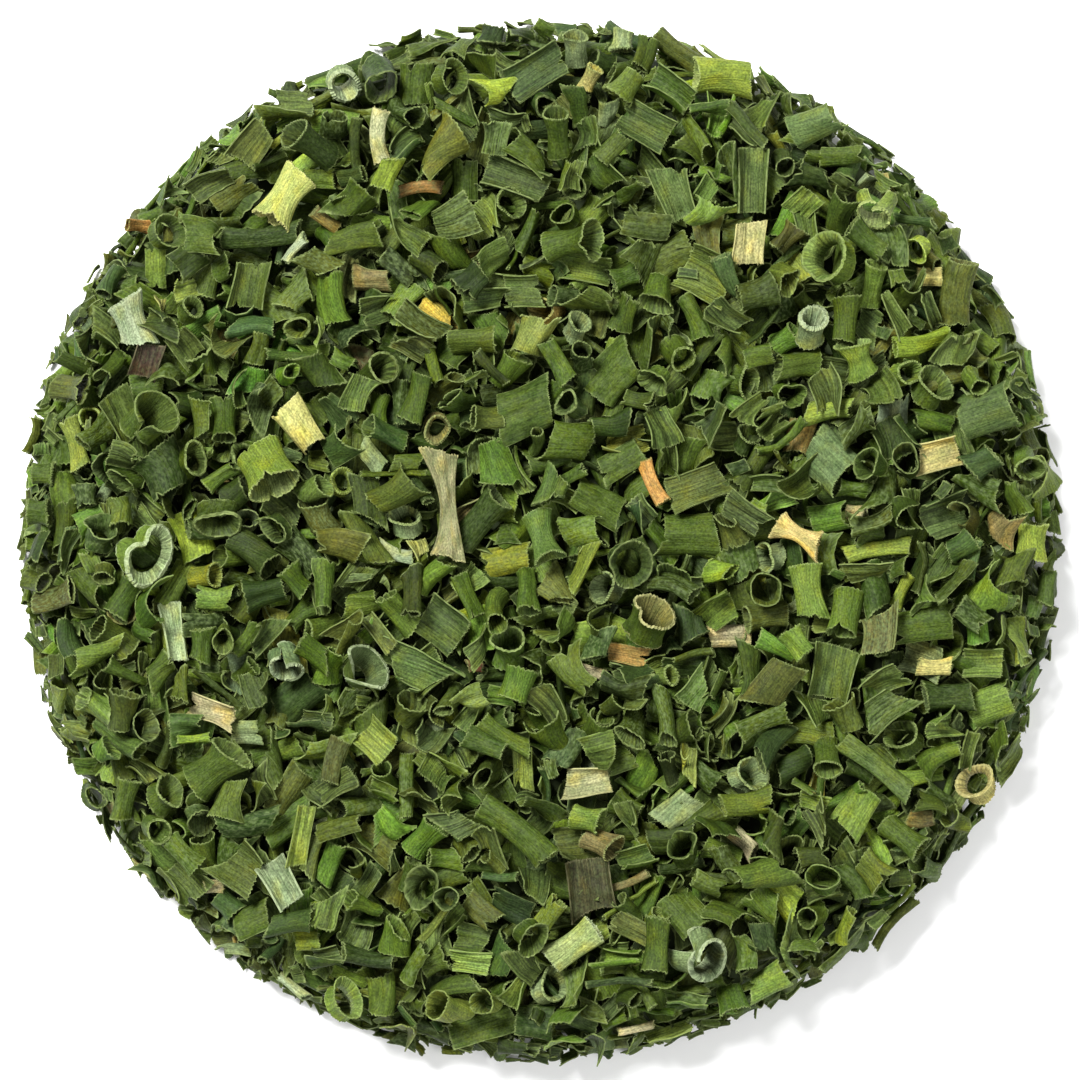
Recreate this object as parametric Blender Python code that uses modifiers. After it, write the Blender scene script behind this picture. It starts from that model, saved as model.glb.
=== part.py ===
"""Low round heap of dried cut chives.

Chive leaves are thin hollow tubes.  They are cut across every few millimetres and dried, and each cut
piece curls, splits or flattens on its own.  The heap is a bed of packed pieces, with the largest and
most distinct pieces lying loose on top of it.  Metres, +Z up, origin at the middle of the heap's foot.
"""
import math

import bmesh
import bpy
from mathutils import Matrix, Vector, noise

MM = 0.001

# The heap.
HEAP_RADIUS = 50 * MM
FOOT_EDGE = 1.5 * MM            # straight edge of the lowest layer of pieces
SHOULDER_WIDTH = 10 * MM        # the side rounds over across this width
SHOULDER_HEIGHT = 9.8 * MM
CROWN_HEIGHT = 11.2 * MM
LUMP_HEIGHT = 0.9 * MM
LUMP_SPACING = 11 * MM
BED_SECTORS = 56
BED_RINGS = 14

# The cut pieces.
RESTING_GAP = 0.3 * MM          # between a loose piece and the bed it lies on
DRIED_WALL = 0.3 * MM           # wall of a dried leaf
PALE_WALL = 0.5 * MM            # wall of a thick ring from near the bulb
TUBE_SIDES = 10
STEM_SIDES_LEVEL = 2            # bevel_resolution: 8 sides

GREEN = (0.075, 0.155, 0.030)
DARK_GREEN = (0.040, 0.090, 0.025)
BLUE_GREEN = (0.075, 0.130, 0.070)
BRIGHT_GREEN = (0.160, 0.330, 0.055)
LIGHT_GREEN = (0.250, 0.400, 0.120)
YELLOW_GREEN = (0.340, 0.400, 0.080)
OLIVE = (0.160, 0.200, 0.035)
PALE = (0.420, 0.500, 0.290)
STRAW = (0.600, 0.550, 0.220)
ORANGE = (0.620, 0.330, 0.080)
CREAM = (0.640, 0.580, 0.380)
WHITE_GREEN = (0.560, 0.620, 0.440)
TAN = (0.330, 0.270, 0.120)
BROWN = (0.070, 0.050, 0.020)
PURPLE = (0.060, 0.025, 0.025)

# Open rings standing on their cut end: x, y, heading of the long diameter, lean, long and short
# diameter, height, wall, colour.
RINGS = {
    "ring_dark_west": (-35.0, 29.0, 40, 24, 2.5, 2.8, 2.6, DRIED_WALL, GREEN),
    "ring_thick_north_west": (-18.5, 43.0, -60, 16, 2.6, 2.5, 2.0, PALE_WALL, PALE),
    "ring_ribbed_north": (-8.5, 43.5, 20, 28, 2.5, 2.8, 2.4, DRIED_WALL, GREEN),
    "ring_thick_east": (27.0, 26.5, 165, 30, 3.6, 3.9, 3.2, PALE_WALL, PALE),
    "ring_oval_east": (25.5, 20.0, 78, 42, 2.2, 2.2, 3.2, PALE_WALL, PALE),
    "ring_heart_west": (-37.0, -1.5, -25, 24, 4.0, 4.9, 2.6, PALE_WALL, WHITE_GREEN),
    "ring_ribbed_centre": (8.5, -2.3, -30, 14, 3.2, 3.3, 2.6, DRIED_WALL, DARK_GREEN),
    "ring_leaning_centre": (10.2, -7.6, 62, 42, 3.0, 3.8, 3.8, DRIED_WALL, PALE),
    "ring_light_south": (-18.5, -43.3, 20, 24, 2.6, 3.4, 2.2, DRIED_WALL, LIGHT_GREEN),
    "ring_straw_east": (41.0, -23.0, 120, 16, 2.8, 3.0, 2.0, DRIED_WALL, STRAW),
}

# Tubes lying on their side: x, y, heading, rise, length, width, waist as a share of the width,
# flatness, colour.
TUBES = {
    "hourglass_torn": (-24.0, 32.2, 238, 12, 5.4, 3.6, 0.72, 0.60, STRAW),
    "hourglass_papery": (-38.2, 21.0, 110, 8, 4.3, 3.6, 0.74, 0.45, WHITE_GREEN),
    "tube_ribbed_north_west": (-21.6, 37.0, 145, 34, 5.2, 2.5, 0.85, 0.85, DARK_GREEN),
    "tube_yellow_north": (17.2, 43.6, 172, 16, 5.2, 3.3, 0.88, 0.80, YELLOW_GREEN),
    "tube_upright_north": (1.5, 38.2, 96, 42, 4.8, 2.1, 0.85, 0.90, GREEN),
    "tube_funnel_north": (3.0, 28.0, 8, 34, 5.0, 3.0, 0.75, 0.85, GREEN),
    "tube_olive_east": (39.4, 23.4, 80, 8, 6.0, 2.8, 0.92, 0.60, OLIVE),
    "hourglass_light_east": (29.6, 16.8, 110, 20, 3.4, 2.9, 0.66, 0.60, LIGHT_GREEN),
    "tube_light_west": (-25.4, 6.7, -62, 40, 4.6, 4.7, 0.90, 0.62, YELLOW_GREEN),
    "hourglass_yellow_west": (-44.0, 9.1, -75, 6, 4.8, 1.9, 0.66, 0.55, YELLOW_GREEN),
    "hourglass_bright_centre": (0.4, 0.3, -75, 26, 4.8, 2.6, 0.68, 0.75, BRIGHT_GREEN),
    "hourglass_light_middle": (25.3, -4.8, -80, 6, 5.0, 2.9, 0.76, 0.50, LIGHT_GREEN),
    "hourglass_rim_east": (46.4, 0.1, 85, 6, 3.4, 3.0, 0.80, 0.55, YELLOW_GREEN),
    "tube_flared_south_west": (-30.2, -21.5, 40, 26, 5.2, 4.0, 0.74, 0.60, GREEN),
    "tube_long_south": (-2.2, -27.2, -38, 10, 8.0, 2.5, 0.88, 0.80, GREEN),
    "tube_white_south": (3.0, -38.0, 35, 10, 5.2, 2.9, 0.80, 0.60, WHITE_GREEN),
}

# Leaf tubes split along their length and curled: x, y, heading, rise, length, width across the
# curl, degrees the curl goes round, colour.
CURLS = {
    "curl_boat_north": (-2.0, 34.0, -20, 6, 6.0, 3.2, 190, GREEN),
    "curl_double_north_east": (20.1, 33.8, 88, 4, 6.0, 3.0, 150, OLIVE),
    "curl_yellow_north_east": (31.3, 29.6, -100, 58, 2.4, 3.2, 290, YELLOW_GREEN),
    "curl_ribbed_west": (-35.3, 12.4, 42, 44, 3.8, 4.0, 290, GREEN),
    "curl_sheath_west": (-34.4, -8.7, -80, 8, 5.4, 2.2, 170, WHITE_GREEN),
    "curl_open_centre": (-15.2, -11.0, 38, 48, 3.2, 3.3, 290, PALE),
    "curl_pale_south_west": (-24.4, -32.2, -60, 14, 4.6, 3.0, 120, PALE),
    "curl_large_south": (16.1, -39.6, -35, 52, 3.4, 3.9, 290, WHITE_GREEN),
    "curl_disc_west": (-23.5, -12.3, -78, 50, 3.0, 2.6, 290, PALE),
}

# Leaf pieces split and dried nearly flat: x, y, heading, rise, length, width, degrees of curl,
# degrees of twist, colour.
FLAKES = {
    "flake_large_centre": (-1.4, 12.2, 20, 5, 5.2, 5.4, 40, 6, DARK_GREEN),
    "flake_blue_north": (-0.4, 43.9, 35, 4, 5.8, 3.8, 60, 12, BLUE_GREEN),
    "flake_creased_west": (-27.3, 24.0, 80, 8, 4.3, 4.0, 110, 6, GREEN),
    "flake_grey_north": (10.0, 39.0, -28, 6, 5.0, 3.7, 60, 8, BLUE_GREEN),
    "flake_folded_north": (12.1, 32.4, 112, 8, 4.8, 3.6, 120, 6, LIGHT_GREEN),
    "flake_yellow_north": (-0.3, 19.2, 60, 12, 3.8, 3.6, 110, 12, YELLOW_GREEN),
    "flake_straw_east": (19.6, 27.9, 85, 4, 3.9, 3.2, 60, 6, STRAW),
    "flake_bright_east": (26.0, 38.6, 20, 10, 4.6, 3.6, 120, 10, BRIGHT_GREEN),
    "flake_straw_west": (-22.6, 10.9, -60, 8, 4.6, 3.3, 90, 10, STRAW),
    "flake_diamond_centre": (-9.2, -8.0, -35, 6, 4.4, 4.4, 50, 8, BLUE_GREEN),
    "flake_pale_east": (37.6, 7.9, 20, 8, 3.8, 3.2, 80, 16, STRAW),
    "flake_grey_east": (42.0, 12.2, 18, 8, 5.0, 4.2, 110, 6, BLUE_GREEN),
    "flake_ragged_east": (36.1, -7.8, 5, 8, 5.4, 3.4, 80, 14, GREEN),
    "flake_creased_south": (27.6, -12.2, 80, 8, 5.0, 4.4, 100, 6, GREEN),
    "flake_cream_west": (-31.0, -16.2, -10, 8, 4.4, 2.5, 90, 16, CREAM),
    "flake_beige_south": (4.4, -22.8, 12, 8, 4.2, 2.9, 90, 12, TAN),
    "flake_brown_south": (4.8, -32.9, 98, 6, 5.2, 4.6, 70, 6, BROWN),
    "flake_lime_south": (21.8, -41.3, 25, 8, 3.6, 3.2, 80, 10, BRIGHT_GREEN),
    "scrap_purple": (-37.0, 16.7, 75, 8, 3.2, 3.0, 50, 12, PURPLE),
}

# Narrow strips, spindles and stalk bits: x, y, heading, rise, length, width, waist as a share of
# the width, bow sideways, colour.
STRIPS = {
    "strip_cream_north": (-14.8, 38.0, 92, 6, 4.8, 1.6, 0.80, 0.5, CREAM),
    "strip_brown_rim": (-11.1, 32.9, 5, 4, 4.0, 1.2, 0.90, 0.3, TAN),
    "strip_long_south_east": (31.3, -21.5, -38, 4, 8.0, 2.0, 0.75, 0.2, OLIVE),
    "stalk_papery": (-9.2, 3.2, -85, 4, 10.0, 3.4, 0.42, 0.5, TAN),
    "bone_orange": (23.9, 0.2, -28, 6, 4.4, 3.0, 0.44, 0.1, ORANGE),
}


def bed_height(x, y):
    """Height of the packed bed's top above the foot, at a place within the heap."""
    reach = min(math.hypot(x, y), HEAP_RADIUS)
    past_shoulder = max(0.0, (reach - HEAP_RADIUS + SHOULDER_WIDTH) / SHOULDER_WIDTH)
    round_off = math.sqrt(max(0.0, 1 - past_shoulder ** 2))
    level = CROWN_HEIGHT - (CROWN_HEIGHT - SHOULDER_HEIGHT) * (reach / HEAP_RADIUS) ** 2
    lump = LUMP_HEIGHT * noise.noise(Vector((x, y, 0)) / LUMP_SPACING)
    return FOOT_EDGE + (level + lump - FOOT_EDGE) * round_off


def bed_slope(x, y):
    """Rotation from level to the bed's mean slope around a place."""
    step = 2 * MM
    inward = 1 - step / HEAP_RADIUS
    x, y = x * inward, y * inward
    rise_x = (bed_height(x + step, y) - bed_height(x - step, y)) / (2 * step)
    rise_y = (bed_height(x, y + step) - bed_height(x, y - step)) / (2 * step)
    normal = Vector((-rise_x, -rise_y, 1)).normalized()
    return Vector((0, 0, 1)).rotation_difference(normal).to_matrix()


def dried_leaf(name, colour):
    """The piece's own matt, papery material."""
    material = bpy.data.materials.new(name + "_leaf")
    material.use_nodes = True
    shader = material.node_tree.nodes["Principled BSDF"]
    shader.inputs["Base Color"].default_value = (*colour, 1)
    shader.inputs["Roughness"].default_value = 0.7
    shader.inputs["Metallic"].default_value = 0.0
    return material


def add_object(name, data, colour):
    """One named object in the heap's collection, with its own material."""
    data.materials.append(dried_leaf(name, colour))
    piece = bpy.data.objects.new(name, data)
    heap.objects.link(piece)
    return piece


def lay_on_bed(piece, x, y, turn):
    """Turns a piece, tilts it with the bed under it, and lowers it until it rests there."""
    piece.rotation_euler = (bed_slope(x, y) @ turn).to_euler()
    piece.location = (x, y, 0)
    bpy.context.view_layer.update()
    shape = piece.evaluated_get(bpy.context.evaluated_depsgraph_get())
    mesh = shape.to_mesh()
    points = [shape.matrix_world @ vertex.co for vertex in mesh.vertices]
    piece.location.z = max(bed_height(p.x, p.y) - p.z for p in points) + RESTING_GAP
    shape.to_mesh_clear()


def lying(heading, rise, roll=0):
    """Rotation of a piece whose length is local X, lying along a heading with one end raised."""
    return (Matrix.Rotation(math.radians(heading), 3, "Z")
            @ Matrix.Rotation(-math.radians(rise), 3, "Y")
            @ Matrix.Rotation(math.radians(roll), 3, "X"))


def make_bed():
    """The packed pieces as one solid: a half sphere drawn down to the heap's shape, with a flat foot."""
    bed = bmesh.new()
    bmesh.ops.create_uvsphere(bed, u_segments=BED_SECTORS, v_segments=2 * BED_RINGS, radius=1)
    below = [vertex for vertex in bed.verts if vertex.co.z < -0.5 / BED_RINGS]
    bmesh.ops.delete(bed, geom=below, context="VERTS")
    for vertex in bed.verts:
        from_pole = math.atan2(math.hypot(vertex.co.x, vertex.co.y), vertex.co.z) / (math.pi / 2)
        reach = HEAP_RADIUS * (from_pole + math.sin(math.pi / 2 * from_pole)) / 2
        angle = math.atan2(vertex.co.y, vertex.co.x)
        x, y = reach * math.cos(angle), reach * math.sin(angle)
        vertex.co = (x, y, bed_height(x, y))
    rim = [edge for edge in bed.edges if edge.is_boundary]
    skirt = bmesh.ops.extrude_edge_only(bed, edges=rim)["geom"]
    for part in skirt:
        if isinstance(part, bmesh.types.BMVert):
            part.co.z = 0
    foot = [part for part in skirt if isinstance(part, bmesh.types.BMEdge) and part.is_boundary]
    bmesh.ops.edgeloop_fill(bed, edges=foot)
    bmesh.ops.recalc_face_normals(bed, faces=bed.faces)
    mesh = bpy.data.meshes.new("packed_chives")
    bed.to_mesh(mesh)
    bed.free()
    mesh.shade_smooth()
    mesh.set_sharp_from_angle(angle=math.radians(50))
    add_object("packed_chives", mesh, GREEN)


def turned_wall(name, outside, wall, colour):
    """A hollow turned leaf piece.  outside lists (radius, height) from top to bottom."""
    inside = [(radius - wall, height) for radius, height in reversed(outside)]
    profile = [(radius, 0, height) for radius, height in outside + inside]
    count = len(profile)
    mesh = bpy.data.meshes.new(name)
    mesh.from_pydata(profile, [(i, (i + 1) % count) for i in range(count)], [])
    piece = add_object(name, mesh, colour)
    screw = piece.modifiers.new("turn", "SCREW")
    screw.axis = "Z"
    screw.angle = 2 * math.pi
    screw.steps = TUBE_SIDES
    screw.render_steps = TUBE_SIDES
    screw.merge_threshold = 0.01 * MM
    return piece


def make_ring(name, x, y, heading, lean, long_width, short_width, height, wall, colour):
    """A short cut ring, its open end up, pulled a little oval."""
    radius = long_width / 2 * MM
    top = height / 2 * MM
    waist = radius * 0.9
    piece = turned_wall(name, [(radius, top), (waist, 0), (radius, -top)], wall, colour)
    piece.scale.y = short_width / long_width
    turn = lying(heading, 0) @ Matrix.Rotation(math.radians(lean), 3, "Y")
    lay_on_bed(piece, x * MM, y * MM, turn)


def make_tube(name, x, y, heading, rise, length, width, waist, flatness, colour):
    """A cut tube lying on its side, drawn in at the waist and pressed a little flat."""
    radius = width / 2 * MM
    end = length / 2 * MM
    outside = [(radius, end), (radius * waist, end / 4), (radius * waist, -end / 4), (radius, -end)]
    piece = turned_wall(name, outside, DRIED_WALL, colour)
    piece.scale.x = flatness
    lay_on_bed(piece, x * MM, y * MM, lying(heading, rise) @ Matrix.Rotation(math.pi / 2, 3, "Y"))


def bent_sheet(name, length, width, curl, twist, colour, rows, columns):
    """A sheet of dried leaf, curled about its length and twisted, opening upward."""
    sheet = bmesh.new()
    bmesh.ops.create_grid(sheet, x_segments=rows, y_segments=columns, size=0.5)
    radius = width / curl
    for vertex in sheet.verts:
        along, across = vertex.co.x, vertex.co.y
        angle = across * curl
        spread = 1 + 0.12 * (2 * along) ** 2
        point = Vector((along * length, radius * math.sin(angle) * spread,
                        radius * (1 - math.cos(angle)) * spread))
        vertex.co = Matrix.Rotation(twist * along, 3, "X") @ point
    mesh = bpy.data.meshes.new(name)
    sheet.to_mesh(mesh)
    sheet.free()
    mesh.shade_smooth()
    mesh.set_sharp_from_angle(angle=math.radians(60))
    piece = add_object(name, mesh, colour)
    leaf = piece.modifiers.new("leaf_wall", "SOLIDIFY")
    leaf.thickness = DRIED_WALL
    leaf.offset = 0
    return piece


def make_curl(name, x, y, heading, rise, length, width, curl_degrees, colour):
    """A split leaf tube, its slit upward or its end up."""
    curl = math.radians(curl_degrees)
    unrolled = width / 2 * curl * MM
    piece = bent_sheet(name, length * MM, unrolled, curl, 0, colour, rows=2, columns=9)
    lay_on_bed(piece, x * MM, y * MM, lying(heading, rise))


def make_flake(name, x, y, heading, rise, length, width, curl_degrees, twist_degrees, colour):
    """A nearly flat piece of split leaf."""
    curl = math.radians(curl_degrees)
    unrolled = width * curl / (2 * math.sin(curl / 2)) * MM
    piece = bent_sheet(name, length * MM, unrolled, curl, math.radians(twist_degrees), colour,
                       rows=3, columns=4)
    lay_on_bed(piece, x * MM, y * MM, lying(heading, rise))


def make_strip(name, x, y, heading, rise, length, width, waist, bow, colour):
    """A narrow strip or stalk: a bowed curve, thinner in its middle."""
    curve = bpy.data.curves.new(name, "CURVE")
    curve.dimensions = "3D"
    curve.bevel_depth = width / 2 * MM
    curve.bevel_resolution = STEM_SIDES_LEVEL
    curve.use_fill_caps = True
    places = [i / 3 - 1 for i in range(7)]
    line = curve.splines.new("POLY")
    line.points.add(len(places) - 1)
    for point, place in zip(line.points, places):
        point.co = (place * length / 2 * MM, bow * (1 - place ** 2) * MM, 0, 1)
        point.radius = waist + (1 - waist) * place ** 2
    piece = add_object(name, curve, colour)
    piece.scale.z = 0.5
    lay_on_bed(piece, x * MM, y * MM, lying(heading, rise))


for old in list(bpy.data.objects):
    bpy.data.objects.remove(old, do_unlink=True)
heap = bpy.data.collections.new("dried_chive_heap")
bpy.context.scene.collection.children.link(heap)

make_bed()
for pieces, make in ((RINGS, make_ring), (TUBES, make_tube), (CURLS, make_curl),
                     (FLAKES, make_flake), (STRIPS, make_strip)):
    for name, sizes in pieces.items():
        make(name, *sizes)
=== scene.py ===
import math

import bpy
import numpy as np
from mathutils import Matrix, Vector
from mathutils.bvhtree import BVHTree


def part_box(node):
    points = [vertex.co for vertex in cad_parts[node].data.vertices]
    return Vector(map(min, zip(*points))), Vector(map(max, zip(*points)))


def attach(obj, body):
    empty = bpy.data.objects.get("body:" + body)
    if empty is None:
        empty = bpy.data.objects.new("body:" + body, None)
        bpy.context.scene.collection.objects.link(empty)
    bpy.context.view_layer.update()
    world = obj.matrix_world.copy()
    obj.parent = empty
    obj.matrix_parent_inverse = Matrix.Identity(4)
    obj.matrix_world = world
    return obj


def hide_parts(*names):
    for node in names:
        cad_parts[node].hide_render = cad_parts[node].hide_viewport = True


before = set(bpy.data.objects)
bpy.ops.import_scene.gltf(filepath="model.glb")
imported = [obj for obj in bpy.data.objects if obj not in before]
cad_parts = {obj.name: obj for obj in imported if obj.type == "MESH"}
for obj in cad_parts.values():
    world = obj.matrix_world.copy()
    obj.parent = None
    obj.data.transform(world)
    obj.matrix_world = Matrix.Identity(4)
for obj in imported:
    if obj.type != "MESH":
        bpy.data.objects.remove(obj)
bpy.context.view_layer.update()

# ---------------------------------------------------------------------------
# Stage: a white sheet under the heap, one broad soft light from the upper left and a pale room all
# round, seen from straight above.
# ---------------------------------------------------------------------------
MM = 0.001
VIEW_WIDTH = 102.8 * MM
LENS = 180
SENSOR = 36
FOCUS_HEIGHT = 5 * MM

scene = bpy.context.scene
scene.view_settings.view_transform = "Standard"

camera = bpy.data.objects.new("camera", bpy.data.cameras.new("camera"))
scene.collection.objects.link(camera)
camera.data.lens = LENS
camera.data.sensor_width = SENSOR
camera.data.clip_start = 0.01
camera.location = (0, 0, FOCUS_HEIGHT + VIEW_WIDTH * LENS / SENSOR)
scene.camera = camera

floor_mesh = bpy.data.meshes.new("floor")
floor_mesh.from_pydata([(-2, -2, 0), (2, -2, 0), (2, 2, 0), (-2, 2, 0)], [], [(0, 1, 2, 3)])
floor = bpy.data.objects.new("floor", floor_mesh)
scene.collection.objects.link(floor)
white_sheet = bpy.data.materials.new("white_sheet")
white_sheet.use_nodes = True
sheet_shader = white_sheet.node_tree.nodes["Principled BSDF"]
sheet_shader.inputs["Base Color"].default_value = (0.95, 0.95, 0.95, 1)
sheet_shader.inputs["Roughness"].default_value = 0.9
floor_mesh.materials.append(white_sheet)


def softbox(name, place, size, power):
    """A square soft light at a place, turned to the middle of the heap."""
    light = bpy.data.lights.new(name, "AREA")
    light.size = size
    light.energy = power
    holder = bpy.data.objects.new(name, light)
    holder.location = place
    holder.rotation_euler = (-Vector(place)).to_track_quat("-Z", "Y").to_euler()
    scene.collection.objects.link(holder)


softbox("key_light", (-0.34, 0.40, 0.76), 0.26, 22)
softbox("fill_light", (0.55, -0.35, 0.60), 0.60, 5)
room = bpy.data.worlds.new("pale_room")
room.use_nodes = True
room.node_tree.nodes["Background"].inputs["Color"].default_value = (1, 1, 1, 1)
room.node_tree.nodes["Background"].inputs["Strength"].default_value = 0.48
scene.world = room

# ---------------------------------------------------------------------------
# Core: the middle of the heap, crushed leaf so tightly packed that only its upper side shows, deep
# in the gaps. Its near-black colour is painted shade for those gaps, over the leaf's own dark green.
# Its shape is read off the imported bed and lies a few millimetres lower.
# ---------------------------------------------------------------------------
HEAP_RADIUS = 50.0
CORE_DEPTH = 4.6
CORE_INSET = 2.8
CORE_RINGS = 40
CORE_SECTORS = 120

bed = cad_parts["packed_chives"]
bed_tree = BVHTree.FromPolygons([v.co for v in bed.data.vertices],
                                [list(p.vertices) for p in bed.data.polygons])


def bed_height(x, y):
    """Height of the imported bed's top in millimetres, 0 outside its foot."""
    hit = bed_tree.ray_cast(Vector((x, y, 50)) * MM, Vector((0, 0, -1)))[0]
    return hit.z / MM if hit else 0.0


core_points = [(0, 0, bed_height(0, 0) - CORE_DEPTH)]
for ring in range(1, CORE_RINGS + 1):
    reach = (HEAP_RADIUS - CORE_INSET) * ring / CORE_RINGS
    for sector in range(CORE_SECTORS):
        angle = 2 * math.pi * sector / CORE_SECTORS
        x, y = reach * math.cos(angle), reach * math.sin(angle)
        height = bed_height(x, y) - CORE_DEPTH + 0.35 * math.sin(2.9 * x) * math.sin(3.1 * y)
        core_points.append((x, y, max(height, 0.4)))
core_faces = [(0, 1 + k, 1 + (k + 1) % CORE_SECTORS) for k in range(CORE_SECTORS)]
for ring in range(CORE_RINGS - 1):
    start = 1 + ring * CORE_SECTORS
    for k in range(CORE_SECTORS):
        after = (k + 1) % CORE_SECTORS
        core_faces.append((start + k, start + CORE_SECTORS + k,
                           start + CORE_SECTORS + after, start + after))
edge = [1 + (CORE_RINGS - 1) * CORE_SECTORS + k for k in range(CORE_SECTORS)]
foot = [len(core_points) + k for k in range(CORE_SECTORS)]
core_points += [(core_points[k][0], core_points[k][1], 0.05) for k in edge]
for k in range(CORE_SECTORS):
    after = (k + 1) % CORE_SECTORS
    core_faces.append((edge[k], foot[k], foot[after], edge[after]))
core_faces.append(tuple(reversed(foot)))
core_mesh = bpy.data.meshes.new("heap_core")
core_mesh.from_pydata([(x * MM, y * MM, z * MM) for x, y, z in core_points], [], core_faces)
core_mesh.shade_smooth()
core_mesh.set_sharp_from_angle(angle=math.radians(50))

crushed = bpy.data.materials.new("crushed_leaf_and_painted_shade")
crushed.use_nodes = True
crumbs = crushed.node_tree.nodes.new("ShaderNodeTexNoise")
crumbs.inputs["Scale"].default_value = 900
crumbs_place = crushed.node_tree.nodes.new("ShaderNodeTexCoord")
crushed.node_tree.links.new(crumbs_place.outputs["Object"], crumbs.inputs["Vector"])
# Painted shade: the crumbs run from near black, standing in for the shadow deep in the gaps, to the dark
# green of the leaf itself.
leaf_and_painted_shade_tones = crushed.node_tree.nodes.new("ShaderNodeValToRGB")
leaf_and_painted_shade_tones.color_ramp.elements[0].color = (0.004, 0.008, 0.001, 1)
leaf_and_painted_shade_tones.color_ramp.elements[1].color = (0.035, 0.055, 0.009, 1)
crushed.node_tree.links.new(crumbs.outputs["Fac"], leaf_and_painted_shade_tones.inputs["Fac"])
crushed_shader = crushed.node_tree.nodes["Principled BSDF"]
crushed.node_tree.links.new(leaf_and_painted_shade_tones.outputs["Color"], crushed_shader.inputs["Base Color"])
crushed_shader.inputs["Roughness"].default_value = 0.9
core_mesh.materials.append(crushed)
core = bpy.data.objects.new("heap_core", core_mesh)
scene.collection.objects.link(core)
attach(core, "root")
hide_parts("packed_chives")

# ---------------------------------------------------------------------------
# Rings: short slices of the hollow chive leaf that dried standing or leaning on a cut end, so that
# their mouths show: thin ribbed green walls, and thick pale ones from near the bulb. They lie loose.
# ---------------------------------------------------------------------------
THIN_WALL = 0.13
FLESHY_WALL = 0.26
PALE_WALL = 0.45


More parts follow.
